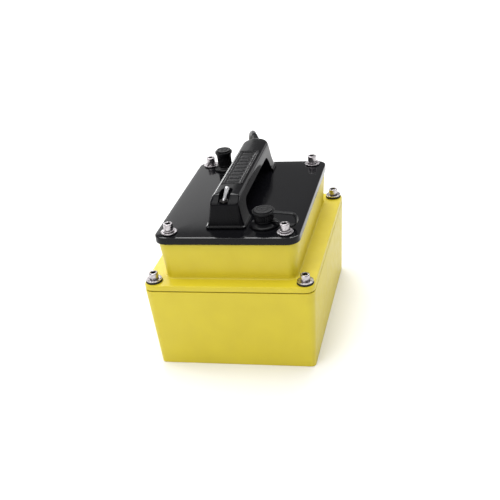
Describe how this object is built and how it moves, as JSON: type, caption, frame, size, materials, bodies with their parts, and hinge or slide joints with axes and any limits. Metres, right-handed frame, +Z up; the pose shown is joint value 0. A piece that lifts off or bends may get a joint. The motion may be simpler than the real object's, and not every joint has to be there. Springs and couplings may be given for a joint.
{
  "type": "portable sealed control box",
  "caption": "Tapered two-part control box with a bolted flange, black lid plate, bridge handle with toggle switch, capped round sockets and a coiled lead.",
  "frame": {"origin": "middle of the box's footprint, on the surface it stands on, measured without the lead, its coil and its plug", "axes": "+Z up; -Y is the front, the end with the toggle switch and the front socket; +X is to the right seen from the front"},
  "size_m": [0.17, 0.3397, 0.1774],
  "materials": {
    "yellow_moulding": "semi-gloss moulded polyester, fine orange-peel",
    "black_lid": "glossy black",
    "handle_moulding": "satin black moulding",
    "gasket_rubber": "matt black",
    "seal_rubber": "matt black",
    "stainless": "bright stainless",
    "chrome_lever": "polished",
    "socket_plastic": "satin black",
    "insert_rubber": "matt black",
    "cap_rubber": "semi-matt black",
    "cable_jacket": "semi-matt black",
    "plug_shell": "satin black",
    "board_laminate": "green solder mask",
    "terminal_plastic": "matt black",
    "battery_wrap": "blue shrink wrap",
    "bare_sheet": "bare sheet"
  },
  "bodies": {
    "box": {"base_tub": "yellow_moulding", "battery_bracket": "bare_sheet", "battery_pack": "battery_wrap", "board_standoff_1": "stainless", "board_standoff_2": "stainless", "board_standoff_3": "stainless", "board_standoff_4": "stainless", "circuit_board": "board_laminate", "cord_coil": "cable_jacket", "cord_lead": "cable_jacket", "cord_plug": "plug_shell", "cover_housing": "yellow_moulding", "flange_gasket": "gasket_rubber", "flange_screw_front_left": "stainless", "flange_screw_front_right": "stainless", "flange_screw_rear_left": "stainless", "flange_screw_rear_right": "stainless", "flange_seal_front_left": "seal_rubber", "flange_seal_front_right": "seal_rubber", "flange_seal_rear_left": "seal_rubber", "flange_seal_rear_right": "seal_rubber", "flange_washer_front_left": "stainless", "flange_washer_front_right": "stainless", "flange_washer_rear_left": "stainless", "flange_washer_rear_right": "stainless", "front_socket": "socket_plastic", "front_socket_insert": "insert_rubber", "front_socket_nut": "stainless", "grip_panel": "handle_moulding", "handle_bolt_front": "stainless", "handle_bolt_rear": "stainless", "handle_channel_cover": "handle_moulding", "handle_shell": "handle_moulding", "lid_gasket": "gasket_rubber", "lid_lock_washer_front_left": "stainless", "lid_lock_washer_front_right": "stainless", "lid_lock_washer_rear_left": "stainless", "lid_lock_washer_rear_right": "stainless", "lid_plate": "black_lid", "lid_screw_front_left": "stainless", "lid_screw_front_right": "stainless", "lid_screw_rear_left": "stainless", "lid_screw_rear_right": "stainless", "lid_washer_front_left": "stainless", "lid_washer_front_right": "stainless", "lid_washer_rear_left": "stainless", "lid_washer_rear_right": "stainless", "rear_socket": "socket_plastic", "rear_socket_insert": "insert_rubber", "rear_socket_nut": "stainless", "strain_relief": "cable_jacket", "terminal_block": "terminal_plastic", "toggle_body": "stainless", "toggle_nut": "stainless"},
    "toggle_lever": {"toggle_lever": "chrome_lever"},
    "front_collar": {"front_cap_tether": "cap_rubber"},
    "front_cap": {"front_dust_cap": "cap_rubber"},
    "rear_collar": {"rear_cap_tether": "cap_rubber"},
    "rear_cap": {"rear_dust_cap": "cap_rubber"}
  },
  "joints": [
    {"name": "toggle_throw", "type": "hinge", "parent": "box", "child": "toggle_lever", "pos_m": [-0.0035, -0.07, 0.165], "axis": [0.8387, -0.5446, 0], "range_deg": [0, 42]},
    {"name": "front_cap_lift", "type": "slide", "parent": "box", "child": "front_collar", "axis": [0, 0, 1], "range_m": [0, 0.016], "deforming": ["front_cap_tether"]},
    {"name": "front_cap_turn", "type": "hinge", "parent": "front_collar", "child": "front_cap", "pos_m": [0.0343, -0.0705, 0.145], "axis": [0, 0, 1], "continuous": true},
    {"name": "rear_cap_lift", "type": "slide", "parent": "box", "child": "rear_collar", "axis": [0, 0, 1], "range_m": [0, 0.022], "deforming": ["rear_cap_tether"]},
    {"name": "rear_cap_turn", "type": "hinge", "parent": "rear_collar", "child": "rear_cap", "pos_m": [-0.0388, 0.074, 0.145], "axis": [0, 0, 1], "continuous": true}
  ]
}
